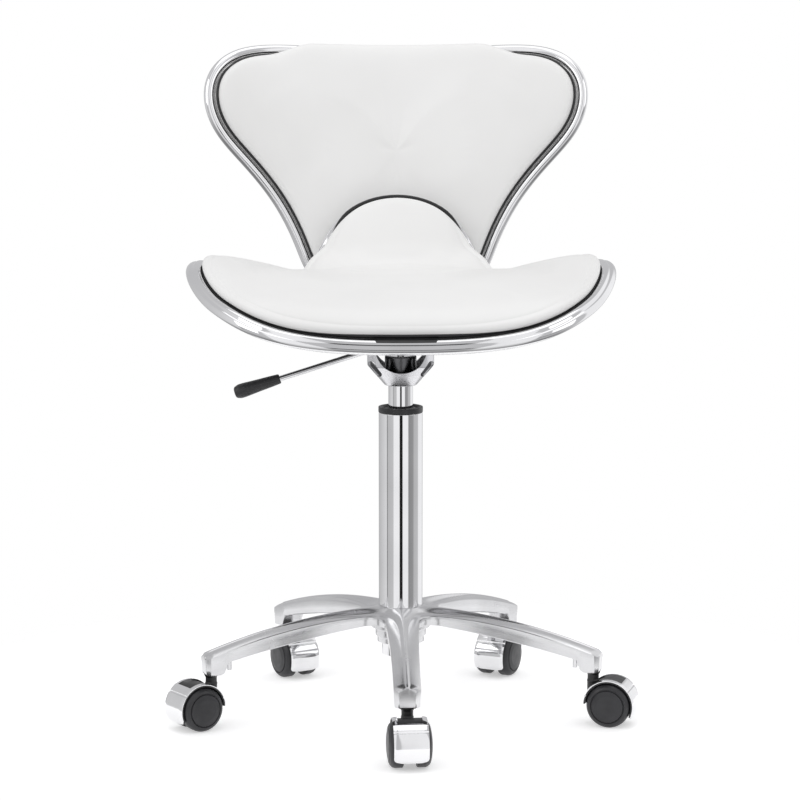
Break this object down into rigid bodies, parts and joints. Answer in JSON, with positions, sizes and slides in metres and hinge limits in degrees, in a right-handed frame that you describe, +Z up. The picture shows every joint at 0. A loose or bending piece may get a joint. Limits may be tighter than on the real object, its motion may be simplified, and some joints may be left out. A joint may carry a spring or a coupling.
{
  "type": "rolling stylist stool",
  "caption": "Rolling stylist stool with a chrome-edged white saddle seat and winged back on a gas-lift column and a five-arm star base with hooded casters.",
  "frame": {"origin": "on the floor, under the axis of the column", "axes": "+Z up, -Y to the front of the seat, the backrest at +Y, +X to the right as seen from the front"},
  "size_m": [0.5383, 0.5099, 0.7581],
  "materials": {
    "polished_aluminium": "polished cast aluminium",
    "chrome": "bright chrome plate",
    "black_plastic": "fine moulded black plastic",
    "bush_plastic": "plain dark plastic",
    "zinc_steel": "zinc-plated steel",
    "black_rubber": "matt black rubber",
    "black_piping": "smooth black piping",
    "black_underside": "black moulded cover",
    "white_vinyl": "smooth white upholstery vinyl, satin",
    "black_steel": "black powder coat",
    "caster_plastic": "black moulded plastic",
    "wheel_plastic": "semi-gloss black plastic"
  },
  "bodies": {
    "base": {"star_base": "polished_aluminium", "column_tube": "chrome", "column_cap": "black_plastic", "guide_bush": "bush_plastic", "thrust_bearing": "zinc_steel", "caster_front_stem": "caster_plastic", "caster_right_stem": "caster_plastic", "caster_rear_right_stem": "caster_plastic", "caster_rear_left_stem": "caster_plastic", "caster_left_stem": "caster_plastic"},
    "rod": {"piston_rod": "zinc_steel", "rubber_buffer": "black_rubber", "column_clip": "zinc_steel"},
    "seat": {"gas_cylinder": "chrome", "seat_bracket": "polished_aluminium", "mount_screws": "zinc_steel", "lever_pivot": "zinc_steel", "seat_shell": "black_underside", "seat_cushion": "white_vinyl", "seat_piping": "black_piping", "seat_rim": "chrome", "back_shell": "white_vinyl", "back_cushion": "white_vinyl", "back_piping": "black_piping", "back_rim": "chrome", "back_strap": "black_steel", "back_bolts": "zinc_steel"},
    "lever": {"lever_rod": "chrome", "lever_grip": "black_plastic"},
    "release_pin": {"release_pin": "zinc_steel"},
    "caster_front": {"caster_front_hood": "chrome", "caster_front_liner": "caster_plastic", "caster_front_axle": "zinc_steel"},
    "caster_front_wheel_a": {"caster_front_wheel_a": "wheel_plastic"},
    "caster_front_wheel_b": {"caster_front_wheel_b": "wheel_plastic"},
    "caster_right": {"caster_right_hood": "chrome", "caster_right_liner": "caster_plastic", "caster_right_axle": "zinc_steel"},
    "caster_right_wheel_a": {"caster_right_wheel_a": "wheel_plastic"},
    "caster_right_wheel_b": {"caster_right_wheel_b": "wheel_plastic"},
    "caster_rear_right": {"caster_rear_right_hood": "chrome", "caster_rear_right_liner": "caster_plastic", "caster_rear_right_axle": "zinc_steel"},
    "caster_rear_right_wheel_a": {"caster_rear_right_wheel_a": "wheel_plastic"},
    "caster_rear_right_wheel_b": {"caster_rear_right_wheel_b": "wheel_plastic"},
    "caster_rear_left": {"caster_rear_left_hood": "chrome", "caster_rear_left_liner": "caster_plastic", "caster_rear_left_axle": "zinc_steel"},
    "caster_rear_left_wheel_a": {"caster_rear_left_wheel_a": "wheel_plastic"},
    "caster_rear_left_wheel_b": {"caster_rear_left_wheel_b": "wheel_plastic"},
    "caster_left": {"caster_left_hood": "chrome", "caster_left_liner": "caster_plastic", "caster_left_axle": "zinc_steel"},
    "caster_left_wheel_a": {"caster_left_wheel_a": "wheel_plastic"},
    "caster_left_wheel_b": {"caster_left_wheel_b": "wheel_plastic"}
  },
  "joints": [
    {"name": "seat_swivel", "type": "hinge", "parent": "base", "child": "rod", "pos_m": [0, 0, 0.2], "axis": [0, 0, 1], "continuous": true},
    {"name": "lift", "type": "slide", "parent": "rod", "child": "seat", "axis": [0, 0, 1], "range_m": [0, 0.12]},
    {"name": "lever_pull", "type": "hinge", "parent": "seat", "child": "lever", "pos_m": [-0.026, 0, 0.42092], "axis": [0, 1, 0], "range_deg": [0, 6], "stiffness_Nm_per_rad": 2},
    {"name": "valve_press", "type": "slide", "parent": "seat", "child": "release_pin", "axis": [0, 0, -1], "range_m": [0, 0.0032], "stiffness_N_per_m": 1000},
    {"name": "caster_front_swivel", "type": "hinge", "parent": "base", "child": "caster_front", "pos_m": [0, -0.227, 0.05], "axis": [0, 0, 1], "continuous": true},
    {"name": "caster_front_spin_a", "type": "hinge", "parent": "caster_front", "child": "caster_front_wheel_a", "pos_m": [0.00146, -0.24795, 0.025], "axis": [-0.9976, -0.0698, 0], "continuous": true},
    {"name": "caster_front_spin_b", "type": "hinge", "parent": "caster_front", "child": "caster_front_wheel_b", "pos_m": [0.00146, -0.24795, 0.025], "axis": [-0.9976, -0.0698, 0], "continuous": true},
    {"name": "caster_right_swivel", "type": "hinge", "parent": "base", "child": "caster_right", "pos_m": [0.21589, -0.07015, 0.05], "axis": [0, 0, 1], "continuous": true},
    {"name": "caster_right_spin_a", "type": "hinge", "parent": "caster_right", "child": "caster_right_wheel_a", "pos_m": [0.23586, -0.07664, 0.025], "axis": [-0.309, -0.9511, 0], "continuous": true},
    {"name": "caster_right_spin_b", "type": "hinge", "parent": "caster_right", "child": "caster_right_wheel_b", "pos_m": [0.23586, -0.07664, 0.025], "axis": [-0.309, -0.9511, 0], "continuous": true},
    {"name": "caster_rear_right_swivel", "type": "hinge", "parent": "base", "child": "caster_rear_right", "pos_m": [0.13343, 0.18365, 0.05], "axis": [0, 0, 1], "continuous": true},
    {"name": "caster_rear_right_spin_a", "type": "hinge", "parent": "caster_rear_right", "child": "caster_rear_right_wheel_a", "pos_m": [0.12357, 0.16511, 0.025], "axis": [-0.8829, 0.4695, 0], "continuous": true},
    {"name": "caster_rear_right_spin_b", "type": "hinge", "parent": "caster_rear_right", "child": "caster_rear_right_wheel_b", "pos_m": [0.12357, 0.16511, 0.025], "axis": [-0.8829, 0.4695, 0], "continuous": true},
    {"name": "caster_rear_left_swivel", "type": "hinge", "parent": "base", "child": "caster_rear_left", "pos_m": [-0.13343, 0.18365, 0.05], "axis": [0, 0, 1], "continuous": true},
    {"name": "caster_rear_left_spin_a", "type": "hinge", "parent": "caster_rear_left", "child": "caster_rear_left_wheel_a", "pos_m": [-0.12357, 0.16511, 0.025], "axis": [-0.8829, -0.4695, 0], "continuous": true},
    {"name": "caster_rear_left_spin_b", "type": "hinge", "parent": "caster_rear_left", "child": "caster_rear_left_wheel_b", "pos_m": [-0.12357, 0.16511, 0.025], "axis": [-0.8829, -0.4695, 0], "continuous": true},
    {"name": "caster_left_swivel", "type": "hinge", "parent": "base", "child": "caster_left", "pos_m": [-0.21589, -0.07015, 0.05], "axis": [0, 0, 1], "continuous": true},
    {"name": "caster_left_spin_a", "type": "hinge", "parent": "caster_left", "child": "caster_left_wheel_a", "pos_m": [-0.2335, -0.08158, 0.025], "axis": [-0.5446, 0.8387, 0], "continuous": true},
    {"name": "caster_left_spin_b", "type": "hinge", "parent": "caster_left", "child": "caster_left_wheel_b", "pos_m": [-0.2335, -0.08158, 0.025], "axis": [-0.5446, 0.8387, 0], "continuous": true}
  ],
  "couplings": [
    {"joint": "valve_press", "follows": "lever_pull", "m_per_rad": 0.03}
  ]
}
